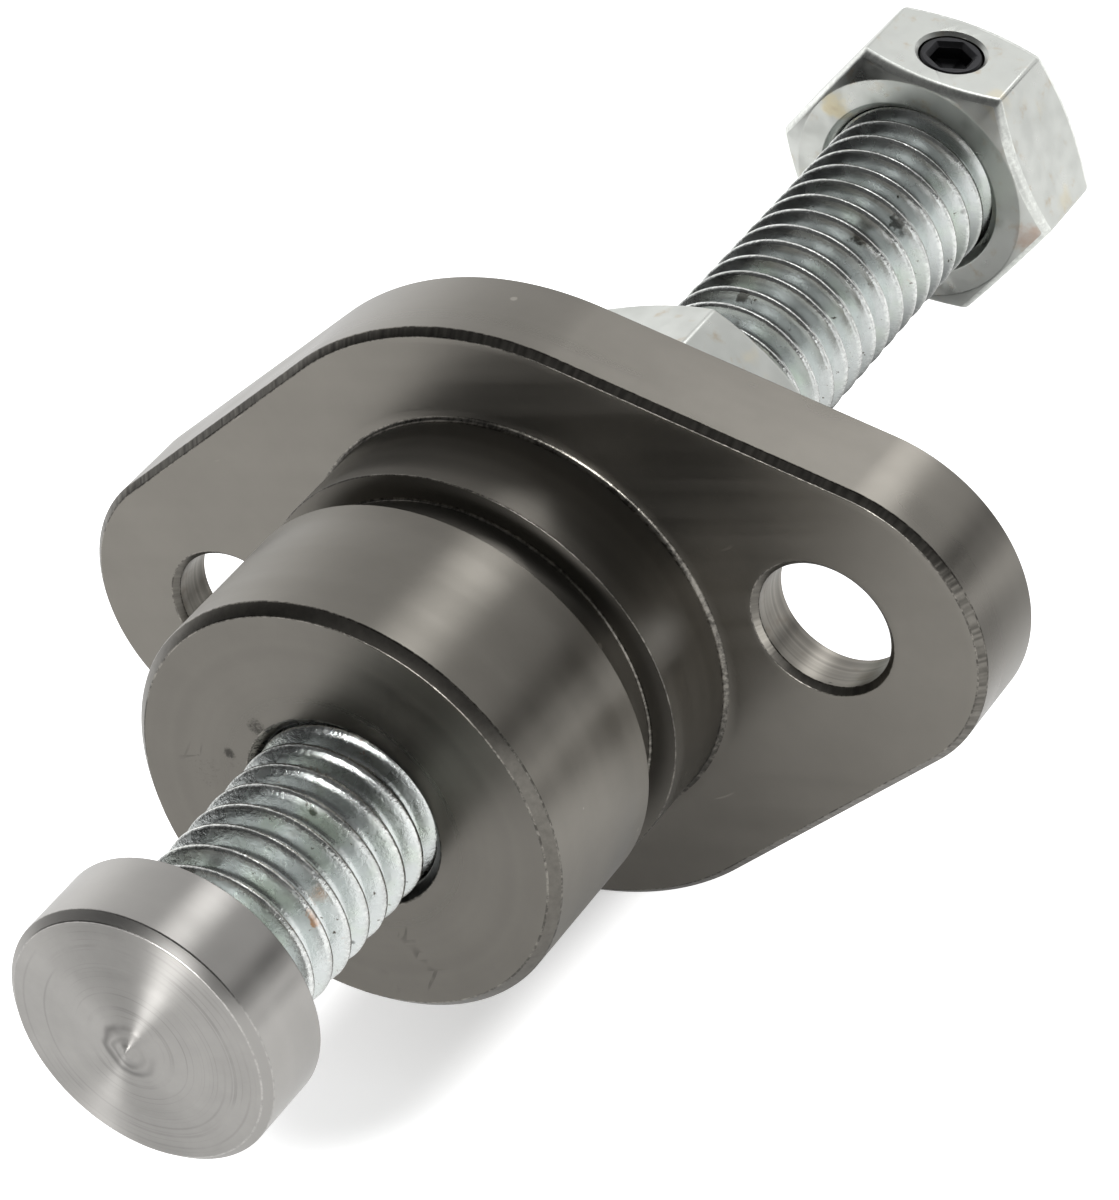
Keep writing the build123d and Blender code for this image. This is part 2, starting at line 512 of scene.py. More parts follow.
def group_specks():
    """Small scattered pits and specks."""
    (vector, scale, size, share), outputs = shader_group(
        "Specks", ("Mask",), Vector=None, Scale=900.0, Size=0.12, Share=0.2)
    wobble = vector.noise(scale * 2.5)
    moved = add_node(vector.tree, "ShaderNodeVectorMath", {
        0: combine(wobble, wobble, wobble), 1: (0.0003, 0.0003, 0.0003), 2: vector},
        operation="MULTIPLY_ADD")
    distance = add_node(vector.tree, "ShaderNodeTexVoronoi", {"Vector": moved, "Scale": scale},
                        "Distance")
    colours = Value(vector.tree, distance.socket.node.outputs["Color"])
    chance, growth, _ = colours.parts()
    reach = size * (growth + 0.4)
    inside = distance.ramp(reach * 0.5, reach, 1.0, 0.0)
    set_input(outputs["Mask"], inside * calc("LESS_THAN", chance, share))


def group_scratches():
    """Short thin scratches in one direction, broken up by noise."""
    (vector, turn, scale, limit), outputs = shader_group(
        "Scratches", ("Mask",), Vector=None, Turn=0.6, Scale=1800.0, Limit=0.74)
    turned = add_node(vector.tree, "ShaderNodeVectorRotate", {"Vector": vector, "Angle": turn},
                      rotation_type="Y_AXIS")
    x, y, z = turned.parts()
    spot = combine(x * 0.06, y * 0.3, vector.noise(260.0).times_plus(0.0012, z))
    thin = spot.noise(scale, 1.0).ramp(limit, limit + 0.04)
    set_input(outputs["Mask"], thin * vector.noise(420.0).ramp(0.5, 0.62))


def group_nicks():
    """Tiny nicks along a worn edge: how bright each spot of it is."""
    (vector, scale, low), outputs = shader_group(
        "Edge nicks", ("Factor",), Vector=None, Scale=3500.0, Low=0.5)
    both = vector.noise(300.0).times_plus(0.5, vector.noise(scale, 3.0, 0.7) * 0.75)
    set_input(outputs["Factor"], both.ramp(0.5, 0.78, low, 1.0))


def group_ticks():
    """Cutter ticks across a milled chamfer, by how far round the edge they are."""
    (run, ticks), outputs = shader_group(
        "Cutter ticks", ("Height",), Run=0.0, Ticks_per_metre=3000.0)
    wide = combine(run, 0.0, 0.0).noise(900.0)
    spot = combine(wide.times_plus(0.0006, run), 0.0, 0.0)
    set_input(outputs["Height"], spot.noise(ticks, 1.0))


class Surface:
    """A material, metallic unless said otherwise, with its shader's inputs."""

    def __init__(self, name, base, roughness, anisotropic=0.0, metallic=1.0):
        self.material = bpy.data.materials.new(name)
        self.material.use_nodes = True
        self.tree = self.material.node_tree
        self.inputs = self.tree.nodes["Principled BSDF"].inputs
        self.inputs["Base Color"].default_value = (*base, 1.0)
        self.inputs["Metallic"].default_value = metallic
        self.inputs["Roughness"].default_value = roughness
        self.place = add_node(self.tree, "ShaderNodeTexCoord", output="Object")
        self.tone = base
        self.normal = None
        if anisotropic:
            self.inputs["Anisotropic"].default_value = anisotropic
            self.inputs["Anisotropic Rotation"].default_value = 0.25
            self.feed("Tangent", add_node(self.tree, "ShaderNodeTangent",
                                          direction_type="RADIAL", axis="Y"))

    def feed(self, label, value):
        """Links a value to one of the shader's inputs."""
        set_input(self.inputs[label], value)

    def paint(self, tone):
        """Gives the surface its colour."""
        self.tone = tone
        self.feed("Base Color", tone)

    def bump(self, height, strength, distance):
        """Feeds a height to the shader's normal, after any bump that is there."""
        values = {"Strength": strength, "Distance": distance, "Height": height}
        if self.normal:
            values["Normal"] = self.normal
        self.normal = add_node(self.tree, "ShaderNodeBump", values)
        self.feed("Normal", self.normal)

    def stored(self, name):
        """A number that is stored on the mesh."""
        return add_node(self.tree, "ShaderNodeAttribute", output="Fac", attribute_name=name)

    def group(self, name, **values):
        """Places a shared node group here with its own values. Returns its outputs."""
        node = self.tree.nodes.new("ShaderNodeGroup")
        node.node_tree = bpy.data.node_groups[name]
        if "Vector" in node.inputs:
            values["Vector"] = self.place
        for label, value in values.items():
            set_input(node.inputs[label.replace("_", " ")], value)
        outputs = [Value(self.tree, socket) for socket in node.outputs]
        return outputs if len(outputs) > 1 else outputs[0]


def metal_ground_face(base):
    """Flange faces: satin, with fine straight grain, specks and a few scratches."""
    metal = Surface("Ground flange face", base, 0.34)
    height, band = metal.group("Straight grain")
    specks = metal.group("Specks", Scale=420.0, Size=0.10, Share=0.12)
    scratches = metal.group("Scratches", Turn=0.35, Limit=0.72)
    tone = shaded(base, metal.group("Mottle", Scale=260.0, Strength=0.10))
    tone = blend(specks * 0.6, tone, toned(base, 2.0))
    metal.paint(blend(scratches * 0.35, tone, toned(base, 2.2)))
    metal.feed("Roughness", band.ramp(0.3, 0.7, 0.30, 0.38))
    metal.bump(height, 0.12, 0.00002)
    metal.bump(scratches, 0.3, -0.00001)
    return metal


def metal_turned(name, base, roughness, anisotropic, strength=0.2, marks=6000.0):
    """Round sides and faces turned on a lathe, with fine rings, specks and soft mottle."""
    metal = Surface(name, base, roughness, anisotropic)
    height, band = metal.group("Turning marks", Marks_per_metre=marks)
    specks = metal.group("Specks", Scale=520.0, Size=0.09, Share=0.14)
    tone = shaded(base, metal.group("Mottle", Scale=420.0, Strength=0.08))
    tone = shaded(tone, band.ramp(0.25, 0.75, 0.93, 1.07))
    metal.paint(blend(specks * 0.55, tone, toned(base, 2.1)))
    metal.feed("Roughness", band.ramp(0.3, 0.7, roughness * 0.88, roughness * 1.12))
    metal.bump(height, strength, 0.00001)
    return metal


# Dark rings on the pad: radius and width in millimetres, and how dark
PAD_RINGS = ((1.42, 0.42, 2.8), (0.85, 0.26, 2.0), (4.9, 0.1, 1.0), (6.1, 0.1, 0.8))


def metal_pad(base):
    """The pad: brushed rings whose gloss spreads outwards, some of them broken and darker."""
    metal = metal_turned("Turned pad", base, 0.35, 0.95, 0.4, 5000.0)
    radius, along = radius_and_along(metal.place)
    slow = metal.place.noise(160.0)
    swirl = metal.place.noise(520.0) - 0.5
    centre = radius.ramp(1.4 * MM, 2.4 * MM, 1.4 * MM, 0.0)
    wavy = swirl.times_plus(centre, slow.times_plus(0.3 * MM, radius))
    rings = combine(wavy, along * 0.4, 0.0).noise(7000.0, 1.0)
    dark = rings.ramp(0.56, 0.66) * metal.place.noise(230.0).ramp(0.42, 0.62)
    for ring, width, depth in PAD_RINGS:
        line = abs(wavy - ring * MM).ramp(0.0, width * MM, depth, 0.0) * slow.ramp(0.42, 0.58)
        dark = calc("MAXIMUM", dark, line)
    mottle = metal.group("Mottle", Scale=520.0, Strength=0.12)
    metal.paint(shaded(metal.tone, dark.times_plus(-0.16, mottle)))
    return metal


def metal_nose_face(base):
    """The nose's front face: turned, with scratches and dark grime round the bore's mouth."""
    metal = metal_turned("Nose face", toned(base, 0.69), 0.3, 0.35, 0.15)
    place = metal.place
    entry = calc("MAXIMUM", place.near((-3.1, -16.1, 4.7), 0.1, 0.9),
                 place.near((-5.4, -16.1, 3.2), 0.05, 0.5))
    side = calc("MAXIMUM", place.near((-7.2, -16.1, 2.1), 0.2, 2.2),
                place.near((-5.2, -16.1, 2.6), 0.1, 1.2))
    low = place.near((0.6, -16.1, -8.0), 1.0, 3.4)
    reach = side.times_plus(0.14, entry * 0.34)
    dark = (reach + place.noise(3400.0, 6.0, 0.85, 2.0)).ramp(0.64, 0.9)
    first = metal.group("Scratches", Turn=0.9, Scale=2600.0, Limit=0.62)
    second = metal.group("Scratches", Turn=0.1, Scale=2400.0, Limit=0.6)
    lines = calc("MAXIMUM", side, low) * calc("MAXIMUM", first, second)
    tone = blend(lines * 0.75, metal.tone, toned(base, 0.35))
    metal.paint(blend(dark * 0.8, tone, toned(base, 0.12)))
    metal.bump(lines, 0.4, -0.00002)
    return metal


def metal_hole_mouth(base):
    """Chamfer at the mouth of a bolt hole, with ticks across it, painted a little darker as shade, with
    one patch painted lighter as a highlight.
    """
    metal = Surface("Hole mouth", base, 0.32)
    x, _, z = metal.place.parts()
    half = bpy.context.scene.tensioner_housing.hole_spacing / 2
    around = calc("ARCTAN2", z, abs(x) - half)
    ticks = combine(around, 0.0, 0.0).noise(9.0, 2.0, 0.7)
    # A painted highlight on one patch of the chamfer; elsewhere the chamfer is painted darker as shade.
    bright = metal.place.near((14.1, 0.1, -1.2), 0.6, 2.1)
    shade = bright.times_plus(1.2, 0.7) * ticks.ramp(0.35, 0.65, 0.85, 1.15)
    metal.paint(shaded(base, shade))
    metal.bump(ticks * bright, 0.5, 0.00003)
    return metal


def metal_hole_wall(base):
    """Wall of a bolt hole: turning marks round it, brown smears and dark pits."""
    light = toned(base, 1.05)
    metal = Surface("Drilled hole", light, 0.34)
    x, y, z = metal.place.parts()
    lines = combine(0.0, y, 0.0).noise(2600.0, 2.0, 0.6)
    ragged_noise = combine(x * 0.5, y, z).noise(700.0, 3.0, 0.6)
    pits = metal.group("Specks", Scale=1500.0, Size=0.22, Share=0.3)
    patch = metal.place.near((17.0, 0.6, -3.3), 0.6, 1.7)
    tone = shaded(light, lines.ramp(0.35, 0.65, 0.82, 1.15))
    tone = blend(ragged_noise.ramp(0.52, 0.7, 0.0, 0.5), tone, (0.17, 0.14, 0.11))
    metal.paint(blend(pits * patch, tone, (0.03, 0.03, 0.028)))
    metal.bump(lines, 0.35, 0.00003)
    return metal


def metal_cut_chamfer_shaded(base):
    """Milled chamfers: painted darker than the housing as shade, with the ticks of the cutter."""
    # The darker colour is painted shade; the ticks are cutter marks.
    dark = toned(base, 0.62)
    metal = Surface("Cut chamfer in painted shade", dark, 0.3)
    ticks = metal.group("Cutter ticks", Run=metal.stored("run"))
    tone = shaded(dark, metal.group("Mottle", Scale=2500.0, Strength=0.35))
    metal.paint(shaded(tone, ticks.ramp(0.35, 0.65, 0.75, 1.3)))
    metal.bump(ticks, 0.6, 0.00004)
    return metal


def metal_edge_highlight(base, name, gain, low):
    """Rounded edges, painted lighter by a gain as a highlight along each edge, with tiny nicks."""
    # The gain paints a highlight into the colour; the nicks are wear.
    bright = toned(base, gain)
    metal = Surface(name, bright, 0.28)
    nicks = metal.group("Edge nicks", Low=low)
    metal.paint(shaded(bright, nicks))
    metal.bump(nicks, 0.25, 0.00002)
    return metal


def metal_bore(base):
    """Threaded bore seen in the gap round the screw, painted nearly black as shade."""
    # The dark colour is painted shade inside the bore and the set screw's hole.
    dark = toned(base, 0.3)
    metal = Surface("Tapped bore in painted shade", dark, 0.45)
    metal.paint(shaded(dark, metal.group("Mottle", Scale=900.0, Strength=0.3)))
    return metal


def metal_bore_lip(base):
    """Chamfer at the bore's mouth: bare metal, nearly black over a ragged part of its lower right side.
    """
    metal = Surface("Bore lip", base, 0.35)
    # Darker towards the lower right of the mouth.
    darker_side = metal.place.near((3.4, -16.0, -3.4), 4.0, 8.0)
    ragged_noise = metal.place.noise(2300.0, 4.0, 0.7, 1.2)
    cover = darker_side.times_plus(0.3, ragged_noise).ramp(0.48, 0.58)
    metal.paint(blend(cover * 0.92, base, (0.02, 0.02, 0.018)))
    metal.bump(ragged_noise, 0.5, 0.00005)
    return metal


def stained(metal, stains, ragged, spread, low, high, cover):
    """The metal's colour under ragged stains: each has a spot, a reach and a colour."""
    tone = metal.tone
    for spot, reach, stain in stains:
        near = metal.place.near(spot, reach * 0.2, reach)
        tone = blend(near.times_plus(spread, ragged).ramp(low, high) * cover, tone, stain)
    return tone


THREAD_STAINS = (
    ((4.4, -24.7, 1.9), 0.6, (0.06, 0.07, 0.05)),
    ((4.7, -24.8, 0.8), 0.85, (0.58, 0.25, 0.06)),
    ((2.7, -20.6, 3.4), 0.4, (0.10, 0.11, 0.08)),
    ((0.3, -26.8, 4.6), 0.9, (0.05, 0.05, 0.04)),
    ((3.5, 32.2, 3.1), 1.0, (0.07, 0.06, 0.05)),
    ((4.0, 34.9, 2.2), 0.8, (0.05, 0.05, 0.045)),
    ((4.4, 33.9, 1.3), 0.5, (0.05, 0.05, 0.045)),
    ((1.3, 23.6, 4.3), 0.6, (0.08, 0.07, 0.06)),
    ((4.4, 21.8, 1.4), 0.6, (0.05, 0.05, 0.045)),
)
WARM_TINT = (0.93, 0.99, 0.86)


def metal_zinc_thread(base, rust):
    """Bright zinc on the rolled thread: blotchy, with dark specks and rust spots, and crests painted
    nearly white, partly worn zinc and partly a painted highlight.
    """
    metal = Surface("Zinc thread", base, 0.2)
    place = metal.place
    crest = metal.stored("crest")
    tone = shaded(base, metal.group("Mottle", Scale=620.0, Strength=0.12))
    warm = place.noise(260.0, 3.0, 0.6).ramp(0.5, 0.66)
    tone = blend(warm * 0.5, tone, tuple(part * tint for part, tint in zip(base, WARM_TINT)))
    patch = place.noise(170.0, 3.0, 0.6).ramp(0.62, 0.7)
    rusty = place.noise(1300.0, 3.0, 0.6).ramp(0.6, 0.68)
    tone = blend(patch * rusty * 0.6, tone, rust)
    specks = metal.group("Specks", Scale=620.0, Size=0.16, Share=0.12)
    metal.tone = blend(specks * 0.7, tone, (0.05, 0.05, 0.05))
    ragged = place.noise(2100.0, 3.0, 0.65)
    tone = stained(metal, THREAD_STAINS, ragged, 0.45, 0.66, 0.84, 0.85)
    nicks = metal.group("Edge nicks", Scale=4200.0, Low=0.55)
    # Crests painted nearly white: worn zinc and a painted highlight along each crest.
    metal.paint(blend(crest * 0.8, tone, shaded((0.97, 0.98, 0.95), nicks)))
    front = place.parts()[1].ramp(-12 * MM, 8 * MM, 1.0, 0.0)
    cloud = place.noise(900.0, 3.0).ramp(0.3, 0.7, 0.19, 0.29)
    metal.feed("Roughness", front.times_plus(0.02, cloud))
    metal.bump(place.noise(5200.0) * crest, 0.9, 0.00004)
    grain = place.noise(3200.0, 4.0, 0.7) * front.times_plus(0.8, 0.2)
    metal.bump(grain, 0.85, 0.00004)
    metal.bump(place.noise(500.0), 0.2, 0.0001)
    return metal


NUT_STAINS = (
    ((-2.9, 42.4, 5.3), 1.6, (0.70, 0.60, 0.34)),
    ((6.5, 42.7, -3.4), 1.3, (0.46, 0.30, 0.22)),
    ((6.3, 43.0, 2.0), 1.0, (0.34, 0.28, 0.20)),
)


def metal_zinc_nut(base):
    """Pale zinc of the nuts, nearly white, with faint yellow stains and specks."""
    metal = Surface("Zinc nut", base, 0.3)
    place = metal.place
    tone = shaded(base, metal.group("Mottle", Scale=300.0, Strength=0.08))
    stain = place.noise(240.0, 3.0, 0.6).ramp(0.62, 0.74)
    metal.tone = blend(stain * 0.35, tone, (0.72, 0.62, 0.40))
    tone = stained(metal, NUT_STAINS, place.noise(900.0, 3.0, 0.6), 0.4, 0.55, 1.0, 0.6)
    specks = metal.group("Specks", Scale=380.0, Size=0.09, Share=0.12)
    metal.paint(blend(specks * 0.6, tone, (0.12, 0.11, 0.10)))
    metal.feed("Roughness", place.noise(700.0, 3.0).ramp(0.3, 0.7, 0.27, 0.42))
    metal.bump(place.noise(900.0, 3.0, 0.55), 0.2, 0.00004)
    return metal


def metal_black_oxide(base):
    """Black oxide of the set screw."""
    metal = Surface("Black oxide", base, 0.38)
    metal.paint(shaded(base, metal.group("Mottle", Scale=1500.0, Strength=0.3)))
    metal.bump(metal.place.noise(2500.0), 0.2, 0.00002)
    return metal


GROUPS = (group_turning_marks, group_straight_grain, group_mottle, group_specks,
          group_scratches, group_nicks, group_ticks)


class TENSIONER_OT_housing(bpy.types.Operator):
    """Flange, pilot, seal groove and nose, with the bore and the two bolt holes"""
    bl_idname = "tensioner.housing"
    bl_label = "Housing"

    def execute(self, context):
        sizes = context.scene.tensioner_housing
        base = tuple(context.scene.tensioner_finishes.housing)
        metals = {
            "face": metal_ground_face(toned(base, 0.88)),
            "side": metal_turned("Milled flange side", toned(base, 0.9), 0.29, 0.0, 0.1, 3000.0),
            "pilot": metal_turned("Turned pilot", toned(base, 0.72), 0.32, 0.7),
            "chamfer": metal_cut_chamfer_shaded(base),
            # Rounded edges of the housing: a painted highlight along each.
            "edge": metal_edge_highlight(base, "Edge with painted highlight", 1.15, 0.3),
            "turned": metal_turned("Turned nose", base, 0.33, 0.84),
            "front": metal_nose_face(base),
            "bore": metal_bore(base),
            "lip": metal_bore_lip(base),
            "mouth": metal_hole_mouth(base),
            "hole": metal_hole_wall(base),
        }
        slots = {name: index for index, name in enumerate(metals)}
        bm = bmesh.new()
        bm.verts.layers.float.new("run")
        fine = 0.06 * MM
        thickness = sizes.thickness
        cut = sizes.flange_chamfer
        rim = [
            (-0.4 * MM, thickness, 0, "face"),
            (0.0, thickness, fine, "side"),
            (0.0, cut, fine * 0.8, "chamfer"),
            (-cut, 0.0, fine * 0.8, "face"),
            (-cut - 0.4 * MM, 0.0, 0, "face"),
        ]
        points, labels = round_corners(rim)
        rings = []
        for point in points:
            spots, runs = flange_outline(sizes, -point.x)
            rings.append(add_ring(bm, spots, point.y, runs))
        join_rings(bm, rings, [slots[label] for label in labels])
        nose = sizes.nose_radius
        floor = nose - sizes.groove_depth
        groove_end = sizes.groove_start + sizes.groove_width
        tip = sizes.nose_length
        bore = sizes.bore_radius
        mouth = bore + sizes.bore_chamfer
        section = [
            (nose + 0.7 * MM, 0.0, 0, "face"),
            (nose, 0.0, sizes.root_fillet, "pilot"),
            (nose, -sizes.groove_start, fine, "pilot"),
            (floor, -sizes.groove_start, 0.15 * MM, "pilot"),
            (floor, -groove_end, 0.15 * MM, "pilot"),
            (nose, -groove_end, fine, "turned"),
            (nose, -tip + sizes.nose_chamfer, fine, "chamfer"),
            (nose - sizes.nose_chamfer, -tip, fine, "front"),
            ((nose + mouth) / 2, -tip, 0, "front"),
            (mouth, -tip, fine, "lip"),
            (bore, -tip + sizes.bore_chamfer, fine, "bore"),
            (bore, thickness - sizes.bore_chamfer, fine, "bore"),
            (mouth, thickness, fine, "face"),
            (mouth + 0.5 * MM, thickness, 0, "face"),
        ]
        hole = sizes.hole_radius
        flare = sizes.hole_chamfer
        walls = [
            (hole + flare + 0.3 * MM, 0.0, 0, "face"),
            (hole + flare, 0.0, fine * 0.7, "mouth"),
            (hole, flare, fine * 0.7, "hole"),
            (hole, sizes.seat_web, fine, "hole"),
            (sizes.seat_radius, sizes.seat_web, fine, "hole"),
            (sizes.seat_radius, thickness, fine, "face"),
            (sizes.seat_radius + 0.3 * MM, thickness, 0, "face"),
        ]
        ends = [(rings[-1], rings[0]), turn_profile(bm, section, slots, 256)]
        for side in (-1, 1):
            centre = (side * sizes.hole_spacing / 2, 0.0)
            ends.append(turn_profile(bm, walls, slots, 96, centre))
        for flat in zip(*ends):
            edges = [edge for ring in flat for edge in loop_edges(bm, ring)]
            fill_flat(bm, edges, slots["face"])
        obj = make_object(bm, "housing_turned", [metal.material for metal in metals.values()])
        place_piece(obj, "housing", "housing")
        return {"FINISHED"}


THREAD_INPUTS = {
    "Radius": "NodeSocketFloat",
    "Depth": "NodeSocketFloat",
    "Pitch": "NodeSocketFloat",
    "Start": "NodeSocketFloat",
    "End": "NodeSocketFloat",
    "Wear": "NodeSocketFloat",
    "Turns": "NodeSocketInt",
    "Segments": "NodeSocketInt",
    "Finish": "NodeSocketMaterial",
}
ROWS_PER_TURN = 16.0


def thread_tree():
    """Geometry nodes that wrap a sheared grid into a rolled right-hand thread."""
    tree = bpy.data.node_groups.new("Rolled thread", "GeometryNodeTree")
    for label, kind in THREAD_INPUTS.items():
        tree.interface.new_socket(label, in_out="INPUT", socket_type=kind)
    tree.interface.new_socket("Geometry", in_out="OUTPUT", socket_type="NodeSocketGeometry")
    sockets = tree.nodes.new("NodeGroupInput").outputs
    radius, depth, pitch, start, end, wear, turns, segments, finish = (
        Value(tree, sockets[label]) for label in THREAD_INPUTS)
    columns = segments + 1.0
    grid = add_node(tree, "GeometryNodeMeshGrid", {
        "Vertices X": turns.times_plus(ROWS_PER_TURN, 1.0), "Vertices Y": columns})
    index = add_node(tree, "GeometryNodeInputIndex")
    row = calc("FLOOR", (index + 0.5) / columns)
    across = (index - row * columns) / segments
    turned = row / ROWS_PER_TURN
    from_crest = calc("PINGPONG", turned, 0.5)
    straight = from_crest.ramp(1 / 16, 3 / 8, how="LINEAR")
    drop = straight.times_plus(0.6, from_crest.ramp(0.02, 0.42) * 0.4)
    # How near a crest a point is; the thread's material paints the crests nearly white, partly worn zinc
    # and partly a painted highlight.
    crest = 1.0 - from_crest.ramp(0.03, 0.16)
    along = (turned + across - 1.0).times_plus(pitch, start)
    level = radius - drop * depth
    sine = calc("SINE", across * (2 * math.pi))
    cosine = calc("COSINE", across * (2 * math.pi))
    clean = combine(level * sine, along, level * cosine)
    rough = clean.noise(1400.0, 3.0, 0.6) - 0.5
    slow = clean.noise(330.0) - 0.5
    amount = wear * along.ramp(-5 * MM, 5 * MM, 1.0, 0.35)
    worn = calc("MINIMUM", rough, 0.1).times_plus(amount * crest, level)
    along = ((rough + slow) * amount).times_plus(0.8, along)
    room = calc("MAXIMUM", end - along, 0.0)
    worn = calc("MINIMUM", worn, radius - depth + room)
    place = combine(worn * sine, along, worn * cosine)
    steps = (
        ("SetPosition", {"Position": place}),
        ("StoreNamedAttribute", {"Name": "crest", "Value": crest}),
        ("MergeByDistance", {"Distance": 0.004 * MM}),
        ("SetShadeSmooth", {}),
        ("RealizeInstances", {}),
        ("SetMaterial", {"Material": finish}),
    )
    for kind, values in steps:
        grid = add_node(tree, "GeometryNode" + kind, {"Geometry": grid, **values})
    set_input(tree.nodes.new("NodeGroupOutput").inputs[0], grid)
    return tree


def thread_mesh(sizes, finish):
    """The thread as a plain mesh, longer than the bolt at both ends."""
    start = sizes.pad_rear - sizes.phase * sizes.pitch
    turns = math.ceil((sizes.rear - start) / sizes.pitch) + 1
    values = (sizes.thread_radius, sizes.thread_depth, sizes.pitch, start, sizes.rear,
              sizes.crest_wear, turns, sizes.segments, finish)
    tree = thread_tree()
    obj = bpy.data.objects.new("thread", bpy.data.meshes.new("thread"))
    bpy.context.collection.objects.link(obj)
    nodes = obj.modifiers.new("Thread", "NODES")
    nodes.node_group = tree
    inputs = [item for item in tree.interface.items_tree if item.in_out == "INPUT"]
    for item, value in zip(inputs, values):
        nodes[item.identifier] = value
    rounded_mesh(obj)
    mesh = obj.data
    bpy.data.objects.remove(obj)
    return mesh


def cut_thread(bm, place, outward):
    """Cuts the thread off at a plane, with a sharp rim. Returns the edges of the cut."""
    everything = bm.verts[:] + bm.edges[:] + bm.faces[:]
    bmesh.ops.bisect_plane(
        bm, geom=everything, dist=1e-8, plane_co=(0, place, 0), plane_no=(0, outward, 0),
        clear_outer=True)
    cut = [edge for edge in bm.edges if edge.is_boundary
           and all(abs(vert.co.y - place) < 1e-7 for vert in edge.verts)]
    if not cut:
        raise RuntimeError("the thread was not cut at both ends")
    for edge in cut:
        edge.smooth = False
    return cut


# Profile of the pad's pip: how far out as a share of its radius, and its rise as a share
PIP_PROFILE = (
    (0.94, 0.25),
    (0.86, 0.33),
    (0.74, 0.33),
    (0.6, 0.46),
    (0.46, 0.62),
    (0.26, 0.82),
)


class TENSIONER_OT_adjuster(bpy.types.Operator):
    """Threaded adjuster bolt with the coned pad on its front end"""
    bl_idname = "tensioner.adjuster"
    bl_label = "Adjuster bolt"

    def execute(self, context):
        sizes = context.scene.tensioner_screw
        colours = context.scene.tensioner_finishes
        pad = tuple(colours.pad)
        metals = {
            "thread": metal_zinc_thread(tuple(colours.zinc), tuple(colours.rust)),
            "pad": metal_pad(pad),
            "ring": metal_turned("Pad chamfer", pad, 0.42, 0.82, 0.2, 3500.0),
            # The pad's side is painted lighter than the pad's face: a painted highlight.
            "side": metal_turned("Pad side painted lighter", toned(pad, 1.16), 0.32, 0.75, 0.25, 3500.0),
            # Roundings of the pad take a painted highlight.
            "edge": metal_edge_highlight(pad, "Pad edge with painted highlight", 1.3, 0.7),
        }
        slots = {name: index for index, name in enumerate(metals)}
        bm = bmesh.new()
        bm.from_mesh(thread_mesh(sizes, metals["thread"].material))
        for face in bm.faces:
            face.material_index = slots["thread"]
        front_cut = cut_thread(bm, sizes.pad_rear, -1)
        rear_cut = cut_thread(bm, sizes.rear, 1)
        fill_flat(bm, rear_cut, slots["thread"])
        radius = sizes.pad_radius
        rim = sizes.pad_rear - sizes.pad_thickness
        shoulder = rim - sizes.pad_chamfer
        inner = radius - sizes.pad_chamfer
        pip = sizes.pip_radius
        foot = shoulder - sizes.cone_rise + sizes.cone_rise * pip / inner
        fine = 0.05 * MM
        section = [
            (radius - 0.5 * MM, sizes.pad_rear, 0, "pad"),
            (radius, sizes.pad_rear, 0.1 * MM, "side"),
            (radius, rim, fine, "ring"),
            (inner, shoulder, fine, "pad"),
            (pip * 1.16, foot + 0.02 * MM, 0, "pad"),
            (pip * 1.08, foot + 0.012 * MM, 0, "pad"),
        ]
        section += [(pip * out, foot - sizes.pip_rise * rise, 0, "pad") for out, rise in PIP_PROFILE]
        section.append((0.0, sizes.front, 0, "pad"))
        first, _ = turn_profile(bm, section, slots, 192)
        fill_flat(bm, front_cut + loop_edges(bm, first), slots["pad"])
        obj = make_object(bm, "adjuster_threaded", [metal.material for metal in metals.values()])
        place_piece(obj, "adjuster", "adjuster_bolt")
        return {"FINISHED"}


def shared_material(name, make, *values):
    """The material of that name, made first if it isn't there yet."""
    return bpy.data.materials.get(name) or make(*values).material


NUT_SLOTS = {"zinc": 0, "bore": 1, "edge": 2}


def nut_materials(colours):
    """Materials of a nut's faces, in the order of its slots."""
    base = tuple(colours.nut)
    # The nut's edge colour is painted near white: a painted highlight along the rounded edges.
    bright = tuple(min(0.93, part * 1.5) for part in base)
    return [
        shared_material("Zinc nut", metal_zinc_nut, base),
        shared_material("Tapped bore in painted shade", metal_bore, tuple(colours.housing)),
        shared_material("Nut edge", metal_edge_highlight, bright, "Nut edge", 1.0, 0.75),
    ]


def make_nut(scene, name, front, back, turn):
    """A hexagon nut with turned corners and chamfered mouths, as one closed ring of faces."""
    sizes = scene.tensioner_nuts
    bore = scene.tensioner_housing.bore_radius
    bm = bmesh.new()
    outline = hexagon_outline(sizes.across_flats, sizes.corner_round, turn)
    drops = [(spot.length - sizes.face_radius) * math.tan(sizes.chamfer_angle)
             for spot in outline]
    halves = []
    for end, inward in ((front, 1), (back, -1)):
        halves.append([
            round_ring(bm, outline, bore, end + inward * sizes.mouth_chamfer),
            round_ring(bm, outline, bore + sizes.mouth_chamfer, end),
            round_ring(bm, outline, sizes.face_radius, end),
            [bm.verts.new((spot.x, end + inward * drop, spot.y))
             for spot, drop in zip(outline, drops)],
        ])
    rings = halves[0] + halves[1][::-1]
    outside = [NUT_SLOTS["zinc"]] * (len(rings) - 1)
    join_rings(bm, rings + rings[:1], outside + [NUT_SLOTS["bore"]])
    return make_object(bm, name, nut_materials(scene.tensioner_finishes))


def screw_place(sizes):
    """Matrix that stands a piece made along Y on the set screw's axis, its front outwards."""
    across, up = polar(1.0, sizes.head_turn + SIXTH / 2)
    way = Vector((across, 0.0, up))
    side = Vector((0.0, 1.0, 0.0))
    turn = Matrix((side, way, side.cross(way))).transposed()
    return Matrix.Translation((0.0, (head_low.y + head_high.y) / 2, 0.0)) @ turn.to_4x4()


